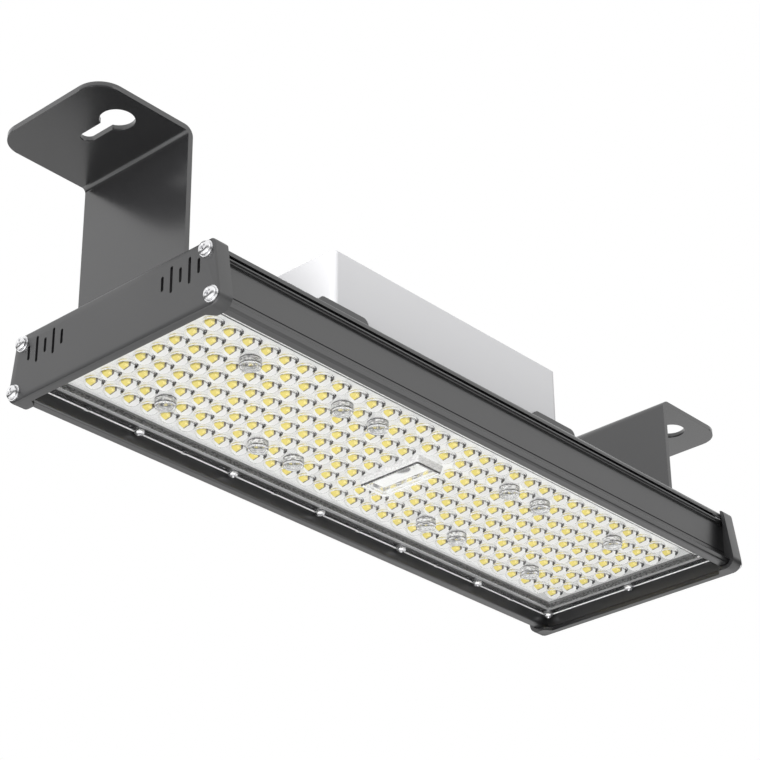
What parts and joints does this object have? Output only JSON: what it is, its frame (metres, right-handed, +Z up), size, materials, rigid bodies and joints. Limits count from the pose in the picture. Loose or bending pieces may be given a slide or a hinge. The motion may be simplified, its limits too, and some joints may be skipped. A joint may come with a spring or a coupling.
{
  "type": "linear high bay light",
  "caption": "Linear LED high bay light: finned black housing with a clear lens panel below, end caps, folded hanging brackets and a sheet metal driver box on top.",
  "frame": {"origin": "middle of the light, at the level of the end caps' lower edge", "axes": "+X along the housing towards the supply gland, +Z up towards the ceiling"},
  "size_m": [0.5102, 0.1488, 0.1187],
  "materials": {
    "housing": "fine matt black powder coat on aluminium",
    "end_cap": "fine matt black powder coat on cast aluminium",
    "bracket": "matt black powder coat on steel sheet",
    "saddle": "matt dark powder coat on steel sheet",
    "box": "satin pale grey coat on steel sheet",
    "end_plate": "plain sheet",
    "screw": "bright zinc",
    "lens": "clear polycarbonate",
    "seal": "white silicone",
    "board": "white solder mask",
    "chip": "yellow phosphor",
    "terminal": "white moulding",
    "rubber": "black rubber",
    "driver": "plain aluminium",
    "gland": "black nylon"
  },
  "bodies": {
    "root": {"housing": "housing", "led_board": "board", "led_chips": "chip", "board_terminal": "terminal", "board_screws": "screw", "lens_panel": "lens", "lens_seal": "seal", "lens_screws": "screw", "end_cap_right": "end_cap", "end_cap_left": "end_cap", "end_plate_right": "end_plate", "end_plate_left": "end_plate", "end_cap_washers": "screw", "end_cap_screws_upper": "screw", "end_cap_screws_lower": "screw", "hanging_bracket_right": "bracket", "hanging_bracket_left": "bracket", "bracket_screws": "screw", "saddle_right": "saddle", "saddle_left": "saddle", "saddle_screws": "screw", "box_tray": "box", "box_cover": "box", "cover_screws": "screw", "box_side_screws": "screw", "led_driver": "driver", "driver_screws": "screw", "board_grommet": "rubber", "box_grommet": "rubber", "lead_sleeve": "rubber", "supply_gland": "gland", "gland_nut": "gland"}
  },
  "joints": []
}
